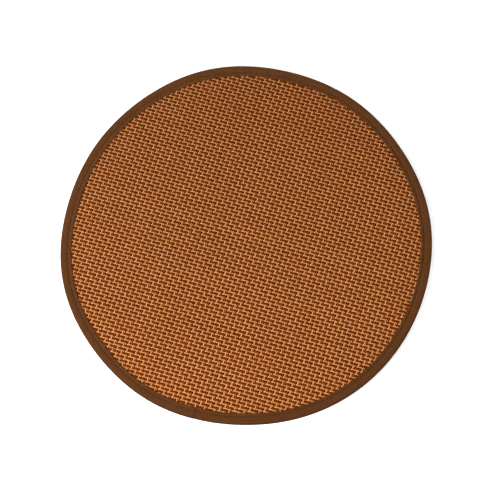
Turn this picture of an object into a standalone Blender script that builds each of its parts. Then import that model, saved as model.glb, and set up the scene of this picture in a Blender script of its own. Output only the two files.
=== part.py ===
"""Round chair seat pad: a panel woven from flat plant-fibre strips, lined with thin foam and a plain
backing cloth, with a folded tape bound round the edge by one row of lockstitch.

Metres, +Z up. The pad lies flat, with the centre of its underside at the origin. The weft strips of
the woven panel run along X and the warp strips along Y.
"""

import math

import bmesh
import bpy

# Overall sizes
PAD_RADIUS = 0.200
BINDING_WIDTH = 0.0113  # each leaf of the tape, from the pad's outer edge to its inner hem

# Layers
FACE_THICKNESS = 0.0012  # two crossing strips
FOAM_FREE = 0.0038  # the foam where nothing squeezes it
FOAM_SEWN = 0.0014  # the foam squeezed between the leaves of the tape
BACKING_THICKNESS = 0.0005
TAPE_THICKNESS = 0.0008  # cloth with its raw edge turned under
LAYER_GAP = 0.0003  # between neighbouring layers
PANEL_SETBACK = 0.0019  # from the inside of the tape's fold to the cut edge of the three layers

# Shape of the edge
RIM_ROUND = 0.0020  # rounding of the fold, outside
HEM_ROUND = 0.0002  # rounding of the tape's inner edges
SLOPE_WIDTH = 0.020  # over which the face rises from the tape to the level middle
SLOPE_GAP = 0.0012  # from the tape's inner edge to the foot of that slope

# Seam
SEAM_INSET = 0.0079  # from the pad's outer edge to the row of stitches
THREAD_DIAMETER = 0.0003
THREAD_GAP = 0.00012
GROOVE_DEPTH = 0.00045
GROOVE_WIDTH = 0.0010

# Facets
TURN_STEPS = 72
SLOPE_STEPS = 4
RIM_STEPS = 4
THREAD_SIDES = 6

# The layers as they are stacked inside the tape, from the underside up
sewn_backing = TAPE_THICKNESS + LAYER_GAP
sewn_foam = sewn_backing + BACKING_THICKNESS + LAYER_GAP
sewn_face = sewn_foam + FOAM_SEWN + LAYER_GAP
tape_ceiling = sewn_face + FACE_THICKNESS + LAYER_GAP
edge_height = tape_ceiling + TAPE_THICKNESS

# The same layers in the middle of the pad, where the backing lies on the chair
free_backing = 0.0
free_foam = free_backing + BACKING_THICKNESS + LAYER_GAP
free_face = free_foam + FOAM_FREE + LAYER_GAP

tape_inner = PAD_RADIUS - BINDING_WIDTH
panel_radius = PAD_RADIUS - TAPE_THICKNESS - PANEL_SETBACK
slope_foot = tape_inner - SLOPE_GAP
seam_radius = PAD_RADIUS - SEAM_INSET


def clear_scene():
    for obj in list(bpy.data.objects):
        bpy.data.objects.remove(obj, do_unlink=True)


def make_material(name, color, roughness):
    material = bpy.data.materials.new(name)
    material.use_nodes = True
    shader = material.node_tree.nodes["Principled BSDF"]
    shader.inputs["Base Color"].default_value = (*color, 1.0)
    shader.inputs["Roughness"].default_value = roughness
    shader.inputs["Metallic"].default_value = 0.0
    return material


def arc(center, radius, start, end, steps):
    """Points of an arc in the X-Z plane. Angles are in degrees, from +X towards +Z."""
    points = []
    for i in range(steps + 1):
        angle = math.radians(start + (end - start) * i / steps)
        points.append((center[0] + radius * math.cos(angle), center[1] + radius * math.sin(angle)))
    return points


def slope(free, sewn):
    """One side of a layer from the level middle out to its cut edge: a cosine between two heights."""
    points = []
    for i in range(SLOPE_STEPS + 1):
        share = i / SLOPE_STEPS
        radius = slope_foot - SLOPE_WIDTH * (1 - share)
        points.append((radius, sewn + (free - sewn) * (1 + math.cos(math.pi * share)) / 2))
    return points


def layer_outline(free_bottom, sewn_bottom, free_thickness, sewn_thickness):
    """The half section of one layer, down its outer side, from the axis and back to it."""
    top = slope(free_bottom + free_thickness, sewn_bottom + sewn_thickness)
    bottom = slope(free_bottom, sewn_bottom)
    outline = [(0.0, free_bottom + free_thickness)]
    outline += top
    outline.append((panel_radius, sewn_bottom + sewn_thickness))
    outline.append((panel_radius, sewn_bottom))
    outline += reversed(bottom)
    outline.append((0.0, free_bottom))
    return outline


def upper_leaf_outline():
    """The top of the tape, from its inner hem outwards: hem, groove of the seam and start of the fold."""
    top = edge_height
    outline = arc((tape_inner + HEM_ROUND, top - HEM_ROUND), HEM_ROUND, 180, 90, 2)
    outline.append((seam_radius - GROOVE_WIDTH / 2, top))
    outline.append((seam_radius - GROOVE_WIDTH / 4, top - GROOVE_DEPTH))
    outline.append((seam_radius + GROOVE_WIDTH / 4, top - GROOVE_DEPTH))
    outline.append((seam_radius + GROOVE_WIDTH / 2, top))
    outline += arc((PAD_RADIUS - RIM_ROUND, top - RIM_ROUND), RIM_ROUND, 90, 0, RIM_STEPS)
    return outline


def binding_outline():
    """The closed U section of the tape, down its outer side and back up its inner side."""
    upper = upper_leaf_outline()
    lower = [(radius, edge_height - height) for radius, height in reversed(upper)]
    inner_wall = PAD_RADIUS - TAPE_THICKNESS
    inner_round = RIM_ROUND - TAPE_THICKNESS
    center = inner_wall - inner_round
    inside = [(tape_inner, TAPE_THICKNESS)]
    inside += arc((center, TAPE_THICKNESS + inner_round), inner_round, -90, 0, RIM_STEPS)
    inside += arc((center, tape_ceiling - inner_round), inner_round, 0, 90, RIM_STEPS)
    inside.append((tape_inner, tape_ceiling))
    return upper + lower + inside


def thread_outline(height):
    """The round section of a thread, clockwise, which is down its outer side."""
    center = (seam_radius, height)
    points = arc(center, THREAD_DIAMETER / 2, 90, -270, THREAD_SIDES)
    return points[:-1]


def turned(name, outline, closed, material, collection):
    """An object made by turning an outline in the X-Z plane once about Z."""
    shape = bmesh.new()
    points = [shape.verts.new((radius, 0.0, height)) for radius, height in outline]
    for first, second in zip(points, points[1:]):
        shape.edges.new((first, second))
    if closed:
        shape.edges.new((points[-1], points[0]))
    mesh = bpy.data.meshes.new(name)
    shape.to_mesh(mesh)
    shape.free()
    mesh.materials.append(material)
    obj = bpy.data.objects.new(name, mesh)
    collection.objects.link(obj)
    screw = obj.modifiers.new("Turn", "SCREW")
    screw.axis = "Z"
    screw.angle = math.tau
    screw.steps = TURN_STEPS
    screw.render_steps = TURN_STEPS
    screw.use_merge_vertices = True
    screw.merge_threshold = 0.00001
    screw.use_smooth_shade = True
    return obj


def make_woven_face(collection):
    material = make_material("woven_strips", (0.296, 0.095, 0.024), 0.45)
    outline = layer_outline(free_face, sewn_face, FACE_THICKNESS, FACE_THICKNESS)
    return turned("woven_face", outline, False, material, collection)


def make_foam_padding(collection):
    material = make_material("foam", (0.80, 0.76, 0.66), 0.9)
    outline = layer_outline(free_foam, sewn_foam, FOAM_FREE, FOAM_SEWN)
    return turned("foam_padding", outline, False, material, collection)


def make_backing_cloth(collection):
    material = make_material("backing_cloth", (0.085, 0.040, 0.018), 0.9)
    outline = layer_outline(free_backing, sewn_backing, BACKING_THICKNESS, BACKING_THICKNESS)
    return turned("backing_cloth", outline, False, material, collection)


def make_edge_binding(collection):
    material = make_material("binding_tape", (0.122, 0.045, 0.014), 0.85)
    return turned("edge_binding", binding_outline(), True, material, collection)


def make_threads(collection):
    """The needle thread lies in the groove of the upper leaf and the bobbin thread in the lower one."""
    material = make_material("sewing_thread", (0.110, 0.042, 0.014), 0.6)
    bobbin_height = GROOVE_DEPTH - THREAD_GAP - THREAD_DIAMETER / 2
    needle_height = edge_height - bobbin_height
    turned("needle_thread", thread_outline(needle_height), True, material, collection)
    turned("bobbin_thread", thread_outline(bobbin_height), True, material, collection)


def main():
    clear_scene()
    collection = bpy.data.collections.new("chair_seat_pad")
    bpy.context.scene.collection.children.link(collection)
    make_woven_face(collection)
    make_foam_padding(collection)
    make_backing_cloth(collection)
    make_edge_binding(collection)
    make_threads(collection)


main()
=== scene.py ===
"""Finished look of a round woven chair seat pad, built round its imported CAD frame.

Metres, +Z up. The weft strips of the woven face run along X and the warp strips along Y. The pad lies on
its back at z = 0. Each operator in the sidebar makes one piece, or one group of like pieces.
"""

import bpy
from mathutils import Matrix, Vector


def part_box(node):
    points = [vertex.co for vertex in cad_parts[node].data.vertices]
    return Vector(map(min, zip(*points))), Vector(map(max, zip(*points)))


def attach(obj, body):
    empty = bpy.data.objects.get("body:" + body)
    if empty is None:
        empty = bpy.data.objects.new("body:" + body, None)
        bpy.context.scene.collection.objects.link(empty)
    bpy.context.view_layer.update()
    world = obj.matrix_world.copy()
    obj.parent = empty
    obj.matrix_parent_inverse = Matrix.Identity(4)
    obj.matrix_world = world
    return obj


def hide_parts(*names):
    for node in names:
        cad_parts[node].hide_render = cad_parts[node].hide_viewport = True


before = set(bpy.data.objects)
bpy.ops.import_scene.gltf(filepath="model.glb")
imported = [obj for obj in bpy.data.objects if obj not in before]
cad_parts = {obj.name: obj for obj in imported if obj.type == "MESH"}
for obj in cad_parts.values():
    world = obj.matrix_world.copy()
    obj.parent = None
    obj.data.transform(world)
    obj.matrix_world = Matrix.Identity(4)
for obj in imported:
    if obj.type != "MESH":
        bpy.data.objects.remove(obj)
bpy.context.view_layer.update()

import math
import random

import bmesh
import bpy
from bpy.props import FloatProperty, FloatVectorProperty, PointerProperty
from mathutils import Matrix, Vector, noise

bl_info = {
    "name": "Woven Chair Seat Pad",
    "version": (1, 0, 0),
    "blender": (4, 5, 0),
    "location": "3D View > Sidebar > Seat Pad",
    "description": "Builds a round seat pad of woven strips with a folded, stitched edge tape",
    "category": "Add Mesh",
}

BODY = "root"
PAD_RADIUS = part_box("edge_binding")[1].x
EDGE_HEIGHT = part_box("edge_binding")[1].z
FACE_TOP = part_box("woven_face")[1].z
PANEL_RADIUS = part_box("woven_face")[1].x
SEAM_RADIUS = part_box("needle_thread")[1].x - 0.0005

# Where the strips are cut off, and where the foam and the backing cloth end
CUT_RADIUS = PANEL_RADIUS - 0.0025
LINING_RADIUS = PANEL_RADIUS - 0.0015
# The two faces of the pad are drawn together towards the tape's hem, and again from there to the seam.
FACE_BEND = PAD_RADIUS - 0.034
BACKING_BEND = PAD_RADIUS - 0.030
HEM_RADIUS = PAD_RADIUS - 0.0115
SEWN_RADIUS = PAD_RADIUS - 0.0112
FACE_MIDDLE = FACE_TOP - 0.00042
FACE_DIP, FACE_SEWN = 0.00095, 0.00035
BACKING_MIDDLE = 0.00042
BACKING_RISE, BACKING_SEWN = 0.00045, 0.00045

# How far the sewn outline strays from a true circle: (lobes round the edge, metres, phase in radians)
OUTLINE_LOBES = (
    (3, 0.00096, 0.56),
    (4, 0.00051, -2.43),
    (5, 0.00020, 2.24),
    (6, 0.00034, -1.95),
    (7, 0.00029, -1.21),
    (8, 0.00032, 2.38),
)
# Where the foam and the backing start to follow the outline
OUTLINE_START = PAD_RADIUS * 0.8

# One repeat of a strip's wave, in pitches from the middle of a float: (place, share of the height)
REPEAT = 4
WAVE = ((-0.80, 0.72), (-0.38, 1.0), (0.38, 1.0), (0.80, 0.72), (1.22, -0.8), (2.78, -0.8))
# What one pitch along a float adds to a strip's lean, which moves the painted light and shade along each
# float
LEAN = 0.3
# How deep a light weft strip dips, as a share of the wave. The others dip all the way.
LIGHT_WEFT_DIP = 0.7
# A strip's cross-section, from edge to edge: (share of the half width, share of the edge's drop)
STRIP_SECTION = ((-1.0, 1.0), (-0.55, 0.0), (0.55, 0.0), (1.0, 1.0))
# How much strips differ: share of the width, and metres sideways and up or down
WIDTH_SPREAD, SHIFT_SPREAD, LIFT_SPREAD = 0.09, 0.00009, 0.00003
# How a strip sways from side to side: (metres, wavelength)
SWAYS = ((0.00012, 0.02), (0.00007, 0.004))

# The foam stays this far below the strips and above the middle of the backing cloth.
FOAM_CLEARANCE, FOAM_REST = 0.00008, 0.00025
FOAM_SPOKES, BACKING_SPOKES, BACKING_RINGS = 120, 168, 34
# How the surfaces of the soft layers wander up and down: (metres, wavelength, seed)
FOAM_WAVES = ((0.00005, 0.02, 3),)
BACKING_WAVES = ((0.00006, 0.018, 5),)
TAPE_WAVES = ((0.00005, 0.008, 4),)
# A grip dot's depth, how much of it is sunk in the cloth, and the share of its radius left at its tip.
# Rows of dots lie closer than the dots in a row, and none is printed under the tape.
DOT_DEPTH, DOT_SUNK, DOT_TIP_SHARE = 0.0003, 0.00004, 0.72
ROW_SHARE = 0.866
DOT_REACH = PAD_RADIUS - 0.017

# The tape stays this far above the floor.
FLOOR_GAP = 0.00006
# How far the stitches lie in from the pad's outer edge
SEAM_INSET = PAD_RADIUS - SEAM_RADIUS
# The upper leaf of the tape: its depth below the edge's top, the stitched groove, the crown outside it
# and the lip that sinks towards the hem
LEAF_DEPTH, GROOVE_WIDTH, CROWN_HEIGHT, LIP_DEPTH = 0.00016, 0.00095, 0.00012, 0.00010
# Places across a leaf: outwards from the hem on the tuck and on the leaf, inwards from the seam, and
# inwards from the outer edge
TUCK_PLACES = (0.0036, 0.0028, 0.0016, 0.0002)
HEM_PLACES = (0.0003, 0.0012)
SEAM_PLACES = (0.0013, 0.0007, 0.0003, 0.0, -0.0003, -0.0007, -0.0013)
RIM_PLACES = (0.0050, 0.0036)
# At the join the end of the tape rises over its start, which is pressed in, and is itself pressed flat.
LAP_SLOPE, LAP_START, LAP_END = 0.012, 0.001, 0.004
END_RISE, END_PRESS, START_SINK, UNDER_SINK = 0.00010, 1.9, 0.00017, 0.00027
# How the hem strays: (metres, wavelength, seed), and metres further in on the wide side
HEM_SWAYS = ((0.00035, 0.045, 1), (0.00012, 0.006, 2))
WIDE_SWAY = 0.00045
# The stitches pucker the tape: metres, and how far that reaches from the seam.
PUCKER, PUCKER_REACH = 0.00007, 0.0012
# One stitch: (share of its length, metres above the cloth), and how far it slants sideways
STITCH = (
    (0.0, -0.0004125), (0.06, -0.000075), (0.2, 0.000105),
    (0.5, 0.00015), (0.8, 0.000105), (0.94, -0.000075),
)
STITCH_SLANT = 0.00008

# The floor: its flat radius, the radius of the cove round it, and the height of the wall
FLOOR_RADIUS, COVE_RADIUS, WALL_HEIGHT = 2.4, 0.8, 3.0
FLOOR_DEPTH = 0.0003
KEY_PLACE = (-0.95, -0.95, 0.95)
FILL_PLACE = (-1.35, 0.5, 0.7)
LAMP_SIZE = 0.7

BLACK = (0.0, 0.0, 0.0)
WHITE = (1.0, 1.0, 1.0, 1.0)


# ---------------- settings


def size_setting(name, description, default, least=0.0):
    """A size in metres."""
    return FloatProperty(
        name=name, description=description, default=default, min=least, unit="LENGTH", precision=5
    )


def color_setting(name, description, default):
    """A colour."""
    return FloatVectorProperty(
        name=name, description=description, default=default, min=0.0, max=1.0, subtype="COLOR"
    )


class WeaveSettings(bpy.types.PropertyGroup):
    """Sizes and colours of the strips of the woven face."""

    warp_pitch: size_setting("Warp Pitch", "From one warp strip to the next", 0.00254, 0.001)
    weft_pitch: size_setting("Weft Pitch", "From one weft strip to the next", 0.00200, 0.001)
    warp_light_width: size_setting("Light Warp Width", "Width of a light warp strip", 0.00162, 0.0005)
    warp_dark_width: size_setting("Dark Warp Width", "Width of a dark warp strip", 0.00130, 0.0005)
    weft_light_width: size_setting("Light Weft Width", "Width of a light weft strip", 0.00152, 0.0005)
    weft_dark_width: size_setting("Dark Weft Width", "Width of a dark weft strip", 0.00170, 0.0005)
    strip_thickness: size_setting("Strip Thickness", "Thickness of a split strip", 0.00030, 0.0001)
    wave_height: size_setting(
        "Wave Height", "How far a strip rises and sinks as it crosses the others", 0.00032,
    )
    edge_drop: size_setting("Edge Drop", "How far a strip's edges lie below its flat middle", 0.00024)
    light_color: color_setting("Light Strips", "Undyed strips", (0.536, 0.240, 0.074))
    dark_color: color_setting("Dark Strips", "Strips dyed red-brown", (0.148, 0.0280, 0.0008))


class TapeSettings(bpy.types.PropertyGroup):
    """Sizes and colour of the tape that is folded round the edge."""

    leaf_width: size_setting(
        "Leaf Width", "From the pad's outer edge to the tape's hem", 0.01195, 0.005,
    )
    cloth_thickness: size_setting(
        "Cloth Thickness", "Thickness of one layer of the tape", 0.00025, 0.0001,
    )
    wide_side: FloatProperty(
        name="Wide Side", description="Where the tape was sewn on furthest in",
        default=math.radians(130.0), unit="ROTATION",
    )
    tuck_width: size_setting("Tuck", "Width of raw edge that is turned under each hem", 0.0052, 0.001)
    groove_depth: size_setting("Groove Depth", "How far the stitches pull the tape down", 0.00058)
    rim_radius: size_setting("Rim Radius", "Rounding of the fold at the outer edge", 0.0021, 0.0005)
    lap_angle: FloatProperty(
        name="Join", description="Where the tape's turned-under end laps its start",
        default=math.radians(-89.5), unit="ROTATION",
    )
    lap_length: size_setting("Lap", "How far the tape's end runs over its start", 0.012)
    color: color_setting("Tape", "Colour of the edge tape", (0.0985, 0.0342, 0.0088))


class SeamSettings(bpy.types.PropertyGroup):
    """Sizes and colour of the row of lockstitch."""

    stitch_length: size_setting("Stitch Length", "From one needle hole to the next", 0.0030, 0.001)
    thread_radius: size_setting("Thread Radius", "Radius of both threads", 0.00015, 0.00005)
    color: color_setting("Thread", "Colour of the sewing thread", (0.080, 0.030, 0.010))


class LiningSettings(bpy.types.PropertyGroup):
    """Sizes and colours of the foam, the backing cloth and its grip dots."""

    cloth_thickness: size_setting("Backing Thickness", "Thickness of the backing cloth", 0.0003, 0.0001)
    dot_pitch: size_setting("Dot Pitch", "From one grip dot to the next", 0.009, 0.003)
    dot_radius: size_setting("Dot Radius", "Radius of a grip dot", 0.0014, 0.0003)
    cloth_color: color_setting("Backing", "Colour of the backing cloth", (0.175, 0.103, 0.062))
    dot_color: color_setting("Grip Dots", "Colour of the grip dots", (0.020, 0.012, 0.008))
    # The foam's deep red-brown is painted shade: it shows in the gaps between the strips in place of
    # their shadow.
    foam_color: color_setting("Foam", "Colour of the foam", (0.085, 0.013, 0.002))


class StageSettings(bpy.types.PropertyGroup):
    """The floor, the light and the camera."""

    floor_color: color_setting("Floor", "Colour of the floor", (0.92, 0.92, 0.92))
    camera_distance: FloatProperty(
        name="Distance", description="From the camera to the pad", default=1.2504, unit="LENGTH",
    )
    camera_tilt: FloatProperty(
        name="Tilt", description="Off straight down", default=math.radians(14.16), unit="ROTATION",
    )
    camera_turn: FloatProperty(
        name="Turn", description="Round the pad, from the -Y side", default=math.radians(23.5),
        unit="ROTATION",
    )
    camera_roll: FloatProperty(
        name="Roll", description="About the line of sight", default=math.radians(-7.4),
        unit="ROTATION",
    )
    target: FloatVectorProperty(
        name="Target", description="What the camera looks at", subtype="TRANSLATION",
        default=(0.0027, -0.0067, 0.0050),
    )
    focal_length: FloatProperty(
        name="Focal Length", description="In millimetres, on a 36 mm sensor", default=84.92,
    )
    key_power: FloatProperty(
        name="Key Light", description="Power of the large soft light", default=28.0, unit="POWER",
    )
    sky_strength: FloatProperty(
        name="Sky Light", description="Strength of the even light from above", default=0.1, min=0.0,
    )
    fill_power: FloatProperty(
        name="Fill Light", description="Power of the fill light", default=9.0, unit="POWER",
    )
    floor_glow: FloatProperty(
        name="Floor Glow", description="Light given off by the floor", default=0.5, min=0.0,
    )


# ---------------- shape of the pad


def outline_shift(angle):
    """How far the sewn outline lies outside a true circle, at an angle round the pad."""
    return sum(size * math.cos(lobes * angle + phase) for lobes, size, phase in OUTLINE_LOBES)


def ease(value, start, end):
    """0 before start, 1 after end, and smooth between them."""
    share = min(max((value - start) / (end - start), 0.0), 1.0)
    return share * share * (3 - 2 * share)


def panel_height(radius):
    """Height of the middle of the woven face, which dips towards the tape and more towards the seam."""
    dip = FACE_DIP * ease(radius, FACE_BEND, HEM_RADIUS)
    sewn = FACE_SEWN * ease(radius, SEWN_RADIUS, SEAM_RADIUS)
    return FACE_MIDDLE - dip - sewn


def backing_height(radius):
    """Height of the middle of the backing cloth, which rises over the lower leaf of the tape."""
    rise = BACKING_RISE * ease(radius, BACKING_BEND, HEM_RADIUS)
    sewn = BACKING_SEWN * ease(radius, SEWN_RADIUS, SEAM_RADIUS)
    return BACKING_MIDDLE + rise + sewn


def unevenness(place, scale, seed):
    """Smooth noise from about -1 to 1 that changes over the given distance."""
    return noise.noise(Vector(place) / scale + Vector((seed * 7.3, seed * 3.1, seed * 1.7)))


def wander(place, waves):
    """How far a point strays: the sum of waves of (metres, wavelength, seed)."""
    return sum(size * unevenness(place, scale, seed) for size, scale, seed in waves)


# ---------------- small tools


def settings():
    """The sizes and colours in the sidebar."""
    return bpy.context.scene.seat_pad


def make_object(name, shape, material, smooth_angle=None):
    """Turns a finished bmesh into a smooth object, with sharp edges above an angle in degrees."""
    mesh = bpy.data.meshes.new(name)
    for face in shape.faces:
        face.smooth = True
    shape.to_mesh(mesh)
    shape.free()
    if smooth_angle is not None:
        mesh.set_sharp_from_angle(angle=math.radians(smooth_angle))
    mesh.materials.append(material)
    thing = bpy.data.objects.new(name, mesh)
    bpy.context.scene.collection.objects.link(thing)
    return thing


def place_piece(piece, node):
    """Makes a piece ride on the pad and stand for a CAD node."""
    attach(piece, BODY)
    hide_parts(node)
    return piece


def turned(profile, steps):
    """Turns a profile of (radius, height) points once round the middle of the pad."""
    shape = bmesh.new()
    verts = [shape.verts.new((radius, 0.0, height)) for radius, height in profile]
    edges = [shape.edges.new(pair) for pair in zip(verts, verts[1:])]
    bmesh.ops.spin(
        shape, geom=verts + edges, cent=(0, 0, 0), axis=(0, 0, 1), angle=math.tau, steps=steps,
        use_merge=True,
    )
    bmesh.ops.remove_doubles(shape, verts=shape.verts, dist=0.000001)
    bmesh.ops.recalc_face_normals(shape, faces=shape.faces)
    return shape


def thicken(piece, thickness):
    """Gives a single surface its thickness, half to each side."""
    wall = piece.modifiers.new("Thickness", "SOLIDIFY")
    wall.thickness = thickness
    wall.offset = 0.0
    wall.use_rim = True


def arc(center, radius, start, end, steps):
    """Points of an arc. Angles are in degrees, from the first axis towards the second."""
    points = []
    for i in range(steps + 1):
        angle = math.radians(start + (end - start) * i / steps)
        points.append((center[0] + radius * math.cos(angle), center[1] + radius * math.sin(angle)))
    return points


# ---------------- shader groups


def new_group(name, inputs, outputs):
    """A shader group that holds only its named sockets, with its input node and its output node."""
    group = bpy.data.node_groups.new(name, "ShaderNodeTree")
    for label, kind, value in inputs:
        socket = group.interface.new_socket(label, in_out="INPUT", socket_type=kind)
        if value is not None:
            socket.default_value = value
    for label, kind in outputs:
        group.interface.new_socket(label, in_out="OUTPUT", socket_type=kind)
    start = group.nodes.new("NodeGroupInput")
    end = group.nodes.new("NodeGroupOutput")
    return group, start, end


def math_node(tree, operation, first, second=None):
    """A Math node. Each operand is a socket or a number."""
    node = tree.nodes.new("ShaderNodeMath")
    node.operation = operation
    for socket, value in zip(node.inputs, (first, second)):
        if value is None:
            continue
        if isinstance(value, (int, float)):
            socket.default_value = value
        else:
            tree.links.new(value, socket)
    return node.outputs[0]


def noise_node(tree, vector, scale, detail=2.0, roughness=0.5):
    """Noise from 0 to 1 over a vector."""
    node = tree.nodes.new("ShaderNodeTexNoise")
    node.inputs["Scale"].default_value = scale
    node.inputs["Detail"].default_value = detail
    node.inputs["Roughness"].default_value = roughness
    tree.links.new(vector, node.inputs["Vector"])
    return node.outputs["Fac"]


def range_node(tree, value, from_low, from_high, to_low, to_high):
    """Turns one range of values into another, and stops at its ends."""
    node = tree.nodes.new("ShaderNodeMapRange")
    node.inputs["From Min"].default_value = from_low
    node.inputs["From Max"].default_value = from_high
    node.inputs["To Min"].default_value = to_low
    node.inputs["To Max"].default_value = to_high
    tree.links.new(value, node.inputs["Value"])
    return node.outputs["Result"]


def mix_node(tree, factor, first, second):
    """Mixes two colours. Each is a socket or a colour."""
    node = tree.nodes.new("ShaderNodeMix")
    node.data_type = "RGBA"
    for index, value in ((0, factor), (6, first), (7, second)):
        if isinstance(value, (int, float)):
            node.inputs[index].default_value = value
        elif isinstance(value, (tuple, list)):
            node.inputs[index].default_value = (*value[:3], 1.0)
        else:
            tree.links.new(value, node.inputs[index])
    return node.outputs[2]


def build_fibre_group():
    """Split plant fibre: fine streaks along a strip, slow patches, a mask for painted shade on the
    shoulders, and a mask for the cut edges, which are darkened by dye and by painted shade.
    """
    tree, start, end = new_group(
        "Split Fibre",
        (
            ("Along", "NodeSocketFloat", 0.0),
            ("Across", "NodeSocketFloat", 0.5),
            ("Strip", "NodeSocketFloat", 0.0),
        ),
        tuple((label, "NodeSocketFloat") for label in ("Streaks", "Patches", "Shoulder Shade", "Edge")),
    )
    along, across, strip = (start.outputs[label] for label in ("Along", "Across", "Strip"))

    def place(*scales):
        node = tree.nodes.new("ShaderNodeCombineXYZ")
        for socket, value, scale in zip(node.inputs, (along, across, strip), scales):
            tree.links.new(math_node(tree, "MULTIPLY", value, scale), socket)
        return node.outputs[0]

    streaks = noise_node(tree, place(90.0, 9.0, 37.0), 1.0, 3.0, 0.6)
    patches = noise_node(tree, place(110.0, 0.8, 91.0), 1.0)
    middle = math_node(tree, "ABSOLUTE", math_node(tree, "SUBTRACT", across, 0.5))
    # Painted shade on the shoulders of a strip.
    shoulder_shade = range_node(tree, middle, 0.12, 0.34, 0.0, 1.0)
    # The cut edges, darkened by dye and by painted shade where the strips meet.
    edge = range_node(tree, middle, 0.33, 0.46, 0.0, 1.0)
    tree.links.new(range_node(tree, streaks, 0.3, 0.7, 0.0, 1.0), end.inputs["Streaks"])
    tree.links.new(range_node(tree, patches, 0.3, 0.7, 0.0, 1.0), end.inputs["Patches"])
    tree.links.new(shoulder_shade, end.inputs["Shoulder Shade"])
    tree.links.new(edge, end.inputs["Edge"])


def build_cloth_group():
    """Plain-woven cloth: the height of threads that pass over and under each other, and their slubs."""
    tree, start, end = new_group(
        "Plain Weave",
        (("Vector", "NodeSocketVector", None), ("Pitch", "NodeSocketFloat", 0.0004)),
        (("Height", "NodeSocketFloat"), ("Slubs", "NodeSocketFloat")),
    )
    shrink = tree.nodes.new("ShaderNodeVectorMath")
    shrink.operation = "SCALE"
    tree.links.new(start.outputs["Vector"], shrink.inputs[0])
    per_metre = math_node(tree, "DIVIDE", 1.0, start.outputs["Pitch"])
    tree.links.new(per_metre, shrink.inputs["Scale"])
    x, y, _ = split_axes(tree, shrink.outputs[0])
    ridges = []
    for value in (x, y):
        wave = math_node(tree, "SINE", math_node(tree, "MULTIPLY", value, math.pi))
        ridges.append(math_node(tree, "ABSOLUTE", wave))
    cells = math_node(tree, "ADD", math_node(tree, "FLOOR", x), math_node(tree, "FLOOR", y))
    over = math_node(tree, "PINGPONG", cells, 1.0)
    first = math_node(tree, "MULTIPLY", ridges[0], over)
    second = math_node(tree, "MULTIPLY", ridges[1], math_node(tree, "SUBTRACT", 1.0, over))
    tree.links.new(math_node(tree, "ADD", first, second), end.inputs["Height"])
    slubs = noise_node(tree, shrink.outputs[0], 0.35, 2.0, 0.6)
    tree.links.new(slubs, end.inputs["Slubs"])


def group_node(tree, name):
    """Places a shader group in a material."""
    node = tree.nodes.new("ShaderNodeGroup")
    node.node_tree = bpy.data.node_groups[name]
    return node


def split_axes(tree, vector):
    """The x, y and z of a vector."""
    node = tree.nodes.new("ShaderNodeSeparateXYZ")
    tree.links.new(vector, node.inputs[0])
    return node.outputs


def attribute_node(tree, name):
    """A number that the mesh holds at each point."""
    node = tree.nodes.new("ShaderNodeAttribute")
    node.attribute_name = name
    return node.outputs["Fac"]


# ---------------- materials


def new_material(name, roughness, specular=0.5, sheen=0.0):
    """A material with its node tree, its shader and its texture coordinates."""
    material = bpy.data.materials.new(name)
    material.use_nodes = True
    shader = material.node_tree.nodes["Principled BSDF"]
    shader.inputs["Roughness"].default_value = roughness
    shader.inputs["Specular IOR Level"].default_value = specular
    shader.inputs["Sheen Weight"].default_value = sheen
    coords = material.node_tree.nodes.new("ShaderNodeTexCoord")
    return material, material.node_tree, shader, coords.outputs


def dress(tree, shader, color, roughness, height, depth, strength=1.0):
    """Gives a shader its colour, its roughness, and a height map of the given depth."""
    tree.links.new(color, shader.inputs["Base Color"])
    tree.links.new(roughness, shader.inputs["Roughness"])
    bump = tree.nodes.new("ShaderNodeBump")
    bump.inputs["Distance"].default_value = depth
    bump.inputs["Strength"].default_value = strength
    tree.links.new(height, bump.inputs["Height"])
    tree.links.new(bump.outputs["Normal"], shader.inputs["Normal"])


def tinted(color, red, green, blue):
    """A colour with each channel scaled."""
    return (color[0] * red, color[1] * green, color[2] * blue)


def shaded(color, share):
    """A colour made darker, or lighter where the share is over 1."""
    return tinted(color, share, share, share)


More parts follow.
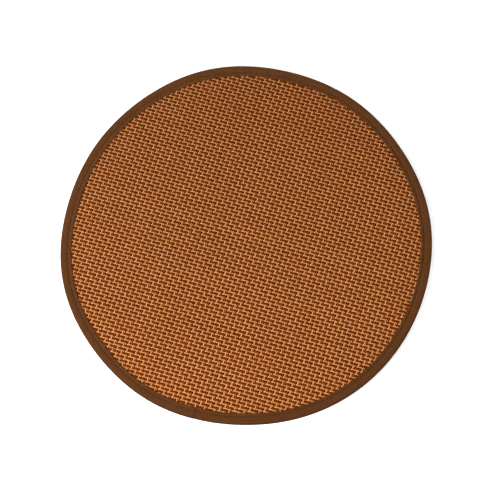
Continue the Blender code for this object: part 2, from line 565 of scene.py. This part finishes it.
def strip_material(name, along_axis, color, tones, edges, low, shine):
    """Satin split fibre. Each strip reads its own tone from the strip_tone attribute, has painted shade
    on its shoulders and cut edges darkened by dye and by painted shade, and takes on painted shade where
    it passes under the others, which on light weft strips is painted light."""
    material, tree, shader, coords = new_material(name, 0.42, shine)
    place = split_axes(tree, coords["Object"])
    tone = attribute_node(tree, "strip_tone")
    fibre = group_node(tree, "Split Fibre")
    tree.links.new(place[along_axis], fibre.inputs["Along"])
    tree.links.new(split_axes(tree, coords["UV"])[1], fibre.inputs["Across"])
    tree.links.new(tone, fibre.inputs["Strip"])
    base = mix_node(tree, tone, tinted(color, *tones[0]), tinted(color, *tones[1]))
    streaks = range_node(tree, fibre.outputs["Streaks"], 0.0, 1.0, 0.16, 0.0)
    streaked = mix_node(tree, streaks, base, tinted(color, 0.5, 0.4, 0.3))
    patches = range_node(tree, fibre.outputs["Patches"], 0.0, 1.0, 0.0, 0.6)
    patchy = mix_node(tree, patches, streaked, tinted(color, 1.2, 1.28, 1.6))
    shoulder, cut = edges
    # Painted shade on the shoulders of the strip.
    rounded = mix_node(tree, math_node(tree, "MULTIPLY", fibre.outputs["Shoulder Shade"], 0.9), patchy, shoulder)
    # Cut edges darkened by dye and by painted shade.
    edged = mix_node(tree, math_node(tree, "MULTIPLY", fibre.outputs["Edge"], 0.95), rounded, cut)
    tint, share, lowest, highest = low
    # Painted shade where the strip passes under the others; on light weft strips it is painted light
    # instead.
    depth = range_node(tree, attribute_node(tree, "painted_shading_rise"), lowest, highest, share, 0.0)
    sunk = mix_node(tree, depth, edged, tint)
    # One side of the pad has darkened more than the other.
    # Painted shade: the strips are darker towards +Y and a little towards -X, as if the light fell off
    # across the pad.
    way = math_node(tree, "ADD", place[1], math_node(tree, "MULTIPLY", place[0], -0.55))
    side_shaded = mix_node(tree, range_node(tree, way, -0.18, 0.2, 0.0, 0.24), sunk, BLACK)
    satin = range_node(tree, fibre.outputs["Streaks"], 0.0, 1.0, 0.52, 0.34)
    dress(tree, shader, side_shaded, satin, fibre.outputs["Streaks"], 0.00002, 0.8)
    return material


def tape_material(tape, width):
    """Matte cotton tape, cut on the bias so that its threads run at 45 degrees to its edges. It has
    painted shade along the fold in the middle of its width, at the outer rim."""
    material, tree, shader, coords = new_material("Binding Tape", 0.92, 0.08)
    bias = tree.nodes.new("ShaderNodeMapping")
    bias.inputs["Rotation"].default_value[2] = math.radians(45)
    tree.links.new(coords["UV"], bias.inputs["Vector"])
    weave = group_node(tree, "Plain Weave")
    weave.inputs["Pitch"].default_value = 0.00042
    tree.links.new(bias.outputs[0], weave.inputs["Vector"])
    color = tuple(tape.color)
    clouds = noise_node(tree, coords["Object"], 45.0, 3.0, 0.55)
    cloudy = range_node(tree, clouds, 0.3, 0.7, 0.0, 1.0)
    base = mix_node(tree, cloudy, tinted(color, 0.92, 0.93, 0.95), tinted(color, 1.08, 1.07, 1.05))
    gaps = range_node(tree, weave.outputs["Height"], 0.0, 0.9, 0.55, 0.0)
    threads = mix_node(tree, gaps, base, shaded(color, 0.35))
    slubs = range_node(tree, weave.outputs["Slubs"], 0.45, 0.75, 0.0, 0.35)
    slubbed = mix_node(tree, slubs, threads, tinted(color, 1.35, 1.3, 1.25))
    across = split_axes(tree, coords["UV"])[1]
    from_fold = math_node(tree, "ABSOLUTE", math_node(tree, "SUBTRACT", across, width / 2))
    # Painted shade: a dark band along the fold at the tape's outer rim.
    fold = range_node(tree, from_fold, 0.0022, 0.0045, 0.7, 0.0)
    folded = mix_node(tree, fold, slubbed, shaded(color, 0.3))
    matte = range_node(tree, weave.outputs["Height"], 0.0, 1.0, 0.98, 0.86)
    dress(tree, shader, folded, matte, weave.outputs["Height"], 0.00008)
    return material


def thread_material(seam):
    """Twisted sewing thread with a slight shine."""
    material, tree, shader, coords = new_material("Sewing Thread", 0.6, 0.1)
    fuzz = noise_node(tree, coords["Object"], 6000.0, 2.0, 0.6)
    slow = noise_node(tree, coords["Object"], 120.0)
    color = tuple(seam.color)
    base = mix_node(tree, slow, shaded(color, 0.9), shaded(color, 1.12))
    raised = range_node(tree, fuzz, 0.35, 0.7, 0.0, 0.5)
    fuzzy = mix_node(tree, raised, base, tinted(color, 1.5, 1.45, 1.4))
    dress(tree, shader, fuzzy, range_node(tree, fuzz, 0.3, 0.7, 0.65, 0.45), fuzz, 0.00003)
    return material


def backing_material(lining):
    """Plain cloth of the underside."""
    material, tree, shader, coords = new_material("Backing Cloth", 0.95, 0.2, 0.1)
    weave = group_node(tree, "Plain Weave")
    weave.inputs["Pitch"].default_value = 0.0006
    tree.links.new(coords["Object"], weave.inputs["Vector"])
    color = tuple(lining.cloth_color)
    slow = noise_node(tree, coords["Object"], 30.0, 3.0, 0.5)
    base = mix_node(tree, slow, shaded(color, 0.85), shaded(color, 1.15))
    gaps = range_node(tree, weave.outputs["Height"], 0.0, 0.9, 0.6, 0.0)
    threads = mix_node(tree, gaps, base, shaded(color, 0.35))
    matte = range_node(tree, weave.outputs["Slubs"], 0.3, 0.7, 0.98, 0.84)
    dress(tree, shader, threads, matte, weave.outputs["Height"], 0.0001)
    return material


def dot_material(lining):
    """Soft rubbery plastic, slightly mottled."""
    material, tree, shader, coords = new_material("Grip Dots", 0.5, 0.2)
    grain = noise_node(tree, coords["Object"], 900.0)
    color = tuple(lining.dot_color)
    mottled = mix_node(tree, grain, shaded(color, 0.8), shaded(color, 1.25))
    dress(tree, shader, mottled, range_node(tree, grain, 0.3, 0.7, 0.6, 0.42), grain, 0.00003)
    return material


def foam_material(lining):
    """Open-cell foam."""
    material, tree, shader, coords = new_material("Foam", 1.0)
    cells = tree.nodes.new("ShaderNodeTexVoronoi")
    cells.inputs["Scale"].default_value = 1400.0
    tree.links.new(coords["Object"], cells.inputs["Vector"])
    # The deep red-brown foam colour is painted shade for the gaps between the strips.
    color = tuple(lining.foam_color)
    pores = range_node(tree, cells.outputs["Distance"], 0.1, 0.6, 0.0, 1.0)
    walls = mix_node(tree, pores, shaded(color, 0.45), shaded(color, 1.1))
    dress(tree, shader, walls, range_node(tree, pores, 0.0, 1.0, 1.0, 0.9), pores, 0.0002)
    return material


def floor_material(color, glow):
    """Matte white backdrop with the faintest tooth, lit from below."""
    material, tree, shader, coords = new_material("Floor", 0.95, 0.1)
    shader.inputs["Emission Color"].default_value = WHITE
    shader.inputs["Emission Strength"].default_value = glow
    tooth = noise_node(tree, coords["Object"], 900.0)
    toothed = mix_node(tree, tooth, tuple(color), shaded(color, 0.995))
    tree.links.new(toothed, shader.inputs["Base Color"])
    return material


# ---------------- the woven face


def strip_stations(start, end, float_middle, pitch):
    """Where a strip has a cross edge, which is at the shoulders of its floats and at its cut ends, its
    height there, and a lean that is low before the middle of a float and high after it. The lean moves
    the painted light and shade along each float."""
    span = REPEAT * pitch
    first_turn = math.floor((start - float_middle) / span) - 1
    last_turn = math.ceil((end - float_middle) / span)
    stations = []
    for turn in range(first_turn, last_turn + 1):
        for place, height in WAVE:
            lean = LEAN * (place - REPEAT if place > REPEAT / 2 else place)
            stations.append((float_middle + turn * span + place * pitch, height, lean))
    inside = [station for station in stations if start < station[0] < end]
    before = max(station for station in stations if station[0] <= start)
    after = min(station for station in stations if station[0] >= end)

    def cut(place, first, second):
        share = (place - first[0]) / (second[0] - first[0])
        return (place, *(a + (b - a) * share for a, b in zip(first[1:], second[1:])))

    ends = [before, *inside, after]
    return [cut(start, *ends[:2]), *inside, cut(end, *ends[-2:])]


def lay_strip(shape, layers, stations, centre, along_x, width, dip, dice):
    """Adds one flat strip to the shape and bends it over and under the strips that it crosses."""
    lengths = len(stations) - 1
    rows = len(STRIP_SECTION) - 1
    weave = settings().weave
    half = width / 2 * (1 + dice.uniform(-WIDTH_SPREAD, WIDTH_SPREAD))
    shift = dice.uniform(-SHIFT_SPREAD, SHIFT_SPREAD)
    lift = dice.uniform(-LIFT_SPREAD, LIFT_SPREAD)
    tone = dice.random()
    seed = dice.uniform(0.0, 50.0)
    strip = bmesh.ops.create_grid(
        shape, x_segments=lengths, y_segments=rows, size=0.5, calc_uvs=True
    )
    for vert in strip["verts"]:
        along, wave, lean = stations[round((vert.co.x + 0.5) * lengths)]
        side, drop = STRIP_SECTION[round((vert.co.y + 0.5) * rows)]
        sway = wander((along, centre, 0.0), [(*wave_size, seed) for wave_size in SWAYS])
        across = centre + shift + sway + side * half
        x, y = (along, across) if along_x else (across, along)
        level = panel_height(math.hypot(x, y)) + lift
        height = wave if wave > 0 else wave * dip
        vert.co = (x, y, level + height * weave.wave_height - drop * weave.edge_drop)
        vert[layers[0]] = tone
        # Wave height plus lean: the mask of the painted light and shade in the strip materials.
        vert[layers[1]] = wave + lean
    if not along_x:
        faces = {face for vert in strip["verts"] for face in vert.link_faces}
        bmesh.ops.reverse_faces(shape, faces=list(faces))


def strip_numbers(pitch, low, high):
    """Numbers of the strips whose middles lie from low to high."""
    return range(math.ceil(low / pitch), math.floor(high / pitch) + 1)


def make_strips(name, along_x, is_light, numbers, width, material, dice):
    """One group of parallel strips of one colour, cut to the round of the panel."""
    weave = settings().weave
    pitch, cross_pitch = weave.weft_pitch, weave.warp_pitch
    if not along_x:
        pitch, cross_pitch = cross_pitch, pitch
    shape = bmesh.new()
    shape.loops.layers.uv.new("UVMap")
    layers = shape.verts.layers.float.new("strip_tone"), shape.verts.layers.float.new("painted_shading_rise")
    dip = LIGHT_WEFT_DIP if along_x and is_light else 1.0
    for number in numbers:
        centre = number * pitch
        if (number % 2 == 0) != is_light or abs(centre) > CUT_RADIUS - pitch:
            continue
        reach = math.sqrt(CUT_RADIUS**2 - centre**2)
        # Weft strip n floats over warp strips n + 2 and n + 3, and warp strip n over weft strips n - 1
        # and n.
        middle = (number + 2.5 if along_x else number - 0.5) * cross_pitch
        stations = strip_stations(-reach, reach, middle, cross_pitch)
        lay_strip(shape, layers, stations, centre, along_x, width, dip, dice)
    piece = place_piece(make_object(name, shape, material), "woven_face")
    thicken(piece, weave.strip_thickness)


def strip_looks(along_x, is_light):
    """How strips of one kind look: their colour, the tints of their deepest and palest tones, the
    colours of their painted shade on the shoulders and of their cut edges, their painted shade where
    they are low, which is painted light on light weft strips (the colour, its share, and the heights
    where it is full and where it ends), and their shine."""
    weave = settings().weave
    light, dark = tuple(weave.light_color), tuple(weave.dark_color)
    if is_light:
        tones = (0.82, 0.77, 0.68), (1.08, 1.12, 1.18)
        # The first edge colour is painted shade on the shoulders; the second darkens the cut edges with
        # dye and with painted shade.
        edges = tinted(light, 0.56, 0.15, 0.0), tinted(dark, 0.85, 0.1, 0.0)
        # Light weft strips are painted lighter where they are low (painted light); light warp strips get
        # painted shade there.
        if along_x:
            return light, tones, edges, (tinted(light, 1.6, 1.58, 1.8), 0.9, -0.3, 0.75), 0.08
        return light, tones, edges, (edges[1], 0.35, -1.0, -0.2), 0.08
    # Painted sheen: dark warp and dark weft are the same dyed strips, and their different tints stand
    # for how the light falls along each.
    tones = (0.96, 0.92, 0.6), (1.30, 1.26, 2.0)
    if along_x:
        tones = (0.80, 0.82, 0.8), (1.18, 1.28, 3.0)
    # The first edge colour is painted shade on the shoulders; the second darkens the cut edges with dye
    # and with painted shade.
    edges = tinted(dark, 0.95, 0.85, 0.5), tinted(dark, 0.5, 0.1, 0.0)
    # Dark strips get painted shade where they are low.
    return dark, tones, edges, (edges[1], 0.92, -0.8, 0.0), 0.02


class SEATPAD_OT_woven_face(bpy.types.Operator):
    """Weave the light and dark strips of the face"""

    bl_idname = "seatpad.woven_face"
    bl_label = "Woven Face"

    def execute(self, context):
        weave = settings().weave
        build_fibre_group()
        dice = random.Random(11)
        for along_x, way in ((False, "warp"), (True, "weft")):
            pitch = weave.weft_pitch if along_x else weave.warp_pitch
            sides = ("near", "far") if along_x else ("left", "right")
            spans = (-PANEL_RADIUS, -pitch / 2), (0.0, PANEL_RADIUS)
            for is_light, shade in ((True, "light"), (False, "dark")):
                width = getattr(weave, f"{way}_{shade}_width")
                material = strip_material(
                    f"{shade.title()} {way.title()} Strip", 0 if along_x else 1,
                    *strip_looks(along_x, is_light),
                )
                for side, span in zip(sides, spans):
                    numbers = strip_numbers(pitch, *span)
                    name = f"{way}_{shade}_{side}"
                    make_strips(name, along_x, is_light, numbers, width, material, dice)
        return {"FINISHED"}


# ---------------- foam, backing and grip dots


def follow_outline(shape):
    """Moves the outer part of a round layer out or in with the sewn outline."""
    for vert in shape.verts:
        radius = math.hypot(vert.co.x, vert.co.y)
        if radius <= OUTLINE_START:
            continue
        share = (radius - OUTLINE_START) / (PAD_RADIUS - OUTLINE_START)
        angle = math.atan2(vert.co.y, vert.co.x)
        factor = (radius + share * outline_shift(angle)) / radius
        vert.co.x *= factor
        vert.co.y *= factor


class SEATPAD_OT_foam(bpy.types.Operator):
    """Make the thin foam between the woven face and the backing cloth"""

    bl_idname = "seatpad.foam"
    bl_label = "Foam Padding"

    def execute(self, context):
        weave = settings().weave
        below_face = weave.wave_height + weave.strip_thickness / 2 + FOAM_CLEARANCE
        rings = [LINING_RADIUS * i / 30 for i in range(24)]
        rings += [LINING_RADIUS - 0.0055 * i for i in range(8)]
        radii = sorted({round(radius, 6) for radius in rings})
        top = [(radius, panel_height(radius) - below_face) for radius in radii]
        bottom = [(radius, backing_height(radius) + FOAM_REST) for radius in reversed(radii)]
        shape = turned(top + bottom, FOAM_SPOKES)
        follow_outline(shape)
        for vert in shape.verts:
            vert.co.z += wander(vert.co, FOAM_WAVES)
        foam = make_object("foam_lining", shape, foam_material(settings().lining), 50)
        place_piece(foam, "foam_padding")
        return {"FINISHED"}


class SEATPAD_OT_backing(bpy.types.Operator):
    """Make the backing cloth and the grip dots printed on it"""

    bl_idname = "seatpad.backing"
    bl_label = "Backing Cloth and Grip Dots"

    def execute(self, context):
        lining = settings().lining
        build_cloth_group()
        radii = [LINING_RADIUS * i / BACKING_RINGS for i in range(BACKING_RINGS + 1)]
        shape = turned([(radius, backing_height(radius)) for radius in radii], BACKING_SPOKES)
        follow_outline(shape)
        for vert in shape.verts:
            vert.co.z += wander(vert.co, BACKING_WAVES)
        if sum(face.normal.z for face in shape.faces) > 0:
            bmesh.ops.reverse_faces(shape, faces=shape.faces)
        cloth = make_object("backing_cloth_sheet", shape, backing_material(lining))
        place_piece(cloth, "backing_cloth")
        thicken(cloth, lining.cloth_thickness)
        self.add_dots(lining)
        return {"FINISHED"}

    def add_dots(self, lining):
        """Low domes in a staggered grid, flattened by the seat that they rest on."""
        shape = bmesh.new()
        pitch = lining.dot_pitch
        rows = math.ceil(LINING_RADIUS / (pitch * ROW_SHARE))
        for row in range(-rows, rows + 1):
            y = row * pitch * ROW_SHARE
            for column in range(-rows, rows + 1):
                x = (column + 0.5 * (row % 2)) * pitch
                radius = math.hypot(x, y)
                if radius > DOT_REACH:
                    continue
                top = backing_height(radius) - lining.cloth_thickness / 2 + DOT_SUNK
                bmesh.ops.create_cone(
                    shape, cap_ends=True, segments=10, radius1=lining.dot_radius * DOT_TIP_SHARE,
                    radius2=lining.dot_radius, depth=DOT_DEPTH,
                    matrix=Matrix.Translation((x, y, top - DOT_DEPTH / 2)),
                )
        dots = make_object("grip_dots", shape, dot_material(lining), 40)
        place_piece(dots, "backing_cloth")


# ---------------- the edge tape


def leaf_dip(inset, tape):
    """How far the upper leaf lies below the top of the edge, at a distance in from the outer edge."""
    groove = tape.groove_depth * math.exp(-(((inset - SEAM_INSET) / GROOVE_WIDTH) ** 2))
    crown = CROWN_HEIGHT * (1 - ease(inset, tape.rim_radius, SEAM_INSET)) * ease(inset, 0.0, 0.004)
    lip = LIP_DEPTH * ease(inset, SEAM_INSET + 0.001, tape.leaf_width)
    return LEAF_DEPTH + groove + lip - crown


def tape_half_section(tape):
    """The upper half of the folded section, from the raw edge under the hem to half way down the rim:
    (distance in from the outer edge, height of the middle of the cloth)."""
    gap = tape.cloth_thickness * 1.25
    fold = gap / 2
    hem = tape.leaf_width - tape.cloth_thickness / 2 - fold
    points = []
    for inset in [hem - tape.tuck_width] + [hem - place for place in TUCK_PLACES]:
        points.append((inset, EDGE_HEIGHT - leaf_dip(inset, tape) - gap))
    centre = (hem, EDGE_HEIGHT - leaf_dip(hem, tape) - fold)
    points += arc(centre, fold, -60, 60, 3)
    insets = [hem - place for place in HEM_PLACES] + [SEAM_INSET + place for place in SEAM_PLACES]
    for inset in (*insets, *RIM_PLACES):
        points.append((inset, EDGE_HEIGHT - leaf_dip(inset, tape)))
    half = tape.cloth_thickness / 2
    top = EDGE_HEIGHT - leaf_dip(tape.rim_radius, tape)
    points += arc((tape.rim_radius + half, top - tape.rim_radius), tape.rim_radius, 90, 180, 6)
    return points


def tape_section(tape):
    """The whole folded section: the upper half, and the same turned over for the lower half."""
    upper = tape_half_section(tape)
    lowest = tape.cloth_thickness / 2 + FLOOR_GAP
    lower = [(inset, max(EDGE_HEIGHT - height, lowest)) for inset, height in reversed(upper)]
    return upper + lower


def tape_lift(place, length, tape, upper):
    """How far the tape stands off at a place along it. Its start is pressed in where its end laps it,
    and the end itself is pressed flat."""
    pressed = 1 - ease(place, tape.lap_length + LAP_START, tape.lap_length + LAP_SLOPE)
    raised = ease(place, length - tape.lap_length - LAP_SLOPE, length - tape.lap_length)
    raised -= END_PRESS * ease(place, length - LAP_END, length)
    return END_RISE * raised - START_SINK * pressed if upper else -UNDER_SINK * pressed


class SEATPAD_OT_edge_tape(bpy.types.Operator):
    """Fold the tape round the edge of the pad and lap its end over its start"""

    bl_idname = "seatpad.edge_tape"
    bl_label = "Edge Tape"

    def execute(self, context):
        tape, seam = settings().tape, settings().seam
        section = tape_section(tape)
        length = math.tau * SEAM_RADIUS + tape.lap_length
        steps = 2 * round(length / seam.stitch_length)
        width = sum(math.dist(a, b) for a, b in zip(section, section[1:]))
        shape = bmesh.new()
        uv_layer = shape.loops.layers.uv.new("UVMap")
        strip = bmesh.ops.create_grid(
            shape, x_segments=steps, y_segments=len(section) - 1, size=0.5, calc_uvs=True
        )
        for vert in strip["verts"]:
            share = vert.co.x + 0.5
            index = round((vert.co.y + 0.5) * (len(section) - 1))
            vert.co = self.fold(share * length, length, section[index], tape, seam)
        for face in shape.faces:
            for loop in face.loops:
                loop[uv_layer].uv = (loop[uv_layer].uv.x * length, loop[uv_layer].uv.y * width)
        piece = make_object("edge_tape", shape, tape_material(tape, width))
        place_piece(piece, "edge_binding")
        thicken(piece, tape.cloth_thickness)
        return {"FINISHED"}

    def fold(self, place, length, point, tape, seam):
        """Where a point of the flat tape lies once it is folded and sewn."""
        angle = tape.lap_angle + (place - tape.lap_length) / SEAM_RADIUS
        inset, height = point
        upper = height > EDGE_HEIGHT / 2
        side = 1.0 if upper else -1.0
        lift = tape_lift(place, length, tape, upper)
        at_rim = 1 - ease(inset, 0.0, tape.rim_radius)
        inset -= lift * at_rim
        height += side * lift * (1 - at_rim)
        stitch = math.cos(math.tau * place / seam.stitch_length)
        near_seam = math.exp(-(((inset - SEAM_INSET) / PUCKER_REACH) ** 2))
        height -= side * PUCKER * stitch * near_seam
        radius = PAD_RADIUS - inset
        flat = (radius * math.cos(angle), radius * math.sin(angle), 0.0)
        inner = ease(inset, SEAM_INSET, tape.leaf_width)
        radius += inner * wander(flat, HEM_SWAYS)
        radius -= inner * WIDE_SWAY * math.cos(angle - tape.wide_side)
        if upper:
            height += wander(flat, TAPE_WAVES)
        radius += outline_shift(angle)
        return (radius * math.cos(angle), radius * math.sin(angle), height)


# ---------------- the seam


class SEATPAD_OT_stitches(bpy.types.Operator):
    """Sew the row of lockstitch: the needle thread above and the bobbin thread below"""

    bl_idname = "seatpad.stitches"
    bl_label = "Stitches"

    def execute(self, context):
        tape, seam = settings().tape, settings().seam
        material = thread_material(seam)
        surface = EDGE_HEIGHT - leaf_dip(SEAM_INSET, tape) + tape.cloth_thickness / 2
        self.sew("needle_thread_stitches", "needle_thread", surface, 1.0, material)
        self.sew("bobbin_thread_stitches", "bobbin_thread", EDGE_HEIGHT - surface, -1.0, material)
        return {"FINISHED"}

    def sew(self, name, node, surface, side, material):
        """One thread, as a closed run of stitches that dips into each needle hole."""
        tape, seam = settings().tape, settings().seam
        stitches = round(math.tau * SEAM_RADIUS / seam.stitch_length)
        curve = bpy.data.curves.new(name, "CURVE")
        curve.dimensions = "3D"
        curve.bevel_depth = seam.thread_radius
        curve.bevel_resolution = 1
        spline = curve.splines.new("POLY")
        spline.points.add(stitches * len(STITCH) - 1)
        length = math.tau * SEAM_RADIUS + tape.lap_length
        for index, point in enumerate(spline.points):
            stitch, step = divmod(index, len(STITCH))
            share, rise = STITCH[step]
            angle = tape.lap_angle + math.tau * (stitch + share) / stitches
            radius = SEAM_RADIUS + outline_shift(angle) + STITCH_SLANT * (share - 0.5)
            place = length - (math.tau + tape.lap_angle - angle) * SEAM_RADIUS
            height = surface + side * (rise + tape_lift(place, length, tape, side > 0))
            point.co = (radius * math.cos(angle), radius * math.sin(angle), height, 1.0)
        spline.use_cyclic_u = True
        curve.materials.append(material)
        thread = bpy.data.objects.new(name, curve)
        bpy.context.scene.collection.objects.link(thread)
        place_piece(thread, node)


# ---------------- the stage


class SEATPAD_OT_stage(bpy.types.Operator):
    """Set up the pale floor, the soft light and the camera"""

    bl_idname = "seatpad.stage"
    bl_label = "Stage"

    def execute(self, context):
        stage = settings().stage
        self.add_camera(context, stage)
        self.add_floor(stage)
        self.add_light(context, stage)
        return {"FINISHED"}

    def add_camera(self, context, stage):
        """A camera that looks down on the pad, a little off straight down."""
        data = bpy.data.cameras.new("Camera")
        data.sensor_width = 36.0
        data.lens = stage.focal_length
        camera = bpy.data.objects.new("Camera", data)
        turn = (
            Matrix.Rotation(stage.camera_turn, 4, "Z")
            @ Matrix.Rotation(stage.camera_tilt, 4, "X")
            @ Matrix.Rotation(stage.camera_roll, 4, "Z")
        )
        back = turn @ Vector((0.0, 0.0, stage.camera_distance))
        camera.matrix_world = Matrix.Translation(Vector(stage.target) + back) @ turn
        context.scene.collection.objects.link(camera)
        context.scene.camera = camera

    def add_floor(self, stage):
        """A round white floor that curves up into a wall, so that it has no horizon from any side."""
        cove_middle = (FLOOR_RADIUS, COVE_RADIUS)
        profile = [(0.0, 0.0), (0.5, 0.0), (FLOOR_RADIUS, 0.0)]
        profile += arc(cove_middle, COVE_RADIUS, -90, 0, 10)[1:]
        profile.append((FLOOR_RADIUS + COVE_RADIUS, WALL_HEIGHT))
        shape = turned([(radius, height - FLOOR_DEPTH) for radius, height in profile], 72)
        floor = make_object("floor", shape, floor_material(stage.floor_color, stage.floor_glow))

    def add_light(self, context, stage):
        """An even pale sky and two soft lamps."""
        world = bpy.data.worlds.new("Studio")
        world.use_nodes = True
        background = world.node_tree.nodes["Background"]
        background.inputs["Color"].default_value = WHITE
        background.inputs["Strength"].default_value = stage.sky_strength
        context.scene.world = world
        self.add_lamp(context, "Key", stage.key_power, Vector(KEY_PLACE))
        self.add_lamp(context, "Fill", stage.fill_power, Vector(FILL_PLACE))
        context.scene.view_settings.view_transform = "Standard"

    def add_lamp(self, context, name, power, place):
        """A large round soft light that faces the middle of the pad."""
        lamp = bpy.data.lights.new(name, "AREA")
        lamp.shape = "DISK"
        lamp.size = LAMP_SIZE
        lamp.energy = power
        light = bpy.data.objects.new(name, lamp)
        facing = place.to_track_quat("Z", "Y").to_matrix().to_4x4()
        light.matrix_world = Matrix.Translation(place) @ facing
        context.scene.collection.objects.link(light)


# ---------------- add-on


class SeatPadSettings(bpy.types.PropertyGroup):
    """All the settings of the seat pad."""

    weave: PointerProperty(type=WeaveSettings)
    tape: PointerProperty(type=TapeSettings)
    seam: PointerProperty(type=SeamSettings)
    lining: PointerProperty(type=LiningSettings)
    stage: PointerProperty(type=StageSettings)


class SEATPAD_PT_panel(bpy.types.Panel):
    """Lists the steps that build the seat pad"""

    bl_idname = "SEATPAD_PT_panel"
    bl_label = "Woven Seat Pad"
    bl_space_type = "VIEW_3D"
    bl_region_type = "UI"
    bl_category = "Seat Pad"

    def draw(self, context):
        for name in ("stage", "weave", "lining", "tape", "seam"):
            box = self.layout.box()
            box.label(text=name.title())
            group = getattr(context.scene.seat_pad, name)
            for key in group.__annotations__:
                box.prop(group, key)
        for operator in OPERATORS:
            self.layout.operator(operator.bl_idname)


OPERATORS = (
    SEATPAD_OT_stage,
    SEATPAD_OT_foam,
    SEATPAD_OT_backing,
    SEATPAD_OT_woven_face,
    SEATPAD_OT_edge_tape,
    SEATPAD_OT_stitches,
)
CLASSES = (
    WeaveSettings,
    TapeSettings,
    SeamSettings,
    LiningSettings,
    StageSettings,
    SeatPadSettings,
    *OPERATORS,
    SEATPAD_PT_panel,
)


def register():
    for each in CLASSES:
        bpy.utils.register_class(each)
    bpy.types.Scene.seat_pad = PointerProperty(type=SeatPadSettings)


def unregister():
    del bpy.types.Scene.seat_pad
    for each in reversed(CLASSES):
        bpy.utils.unregister_class(each)


def main():
    """Builds the whole pad."""
    register()
    bpy.ops.seatpad.stage()
    bpy.ops.seatpad.foam()
    bpy.ops.seatpad.backing()
    bpy.ops.seatpad.woven_face()
    bpy.ops.seatpad.edge_tape()
    bpy.ops.seatpad.stitches()


if __name__ == "__main__":
    main()
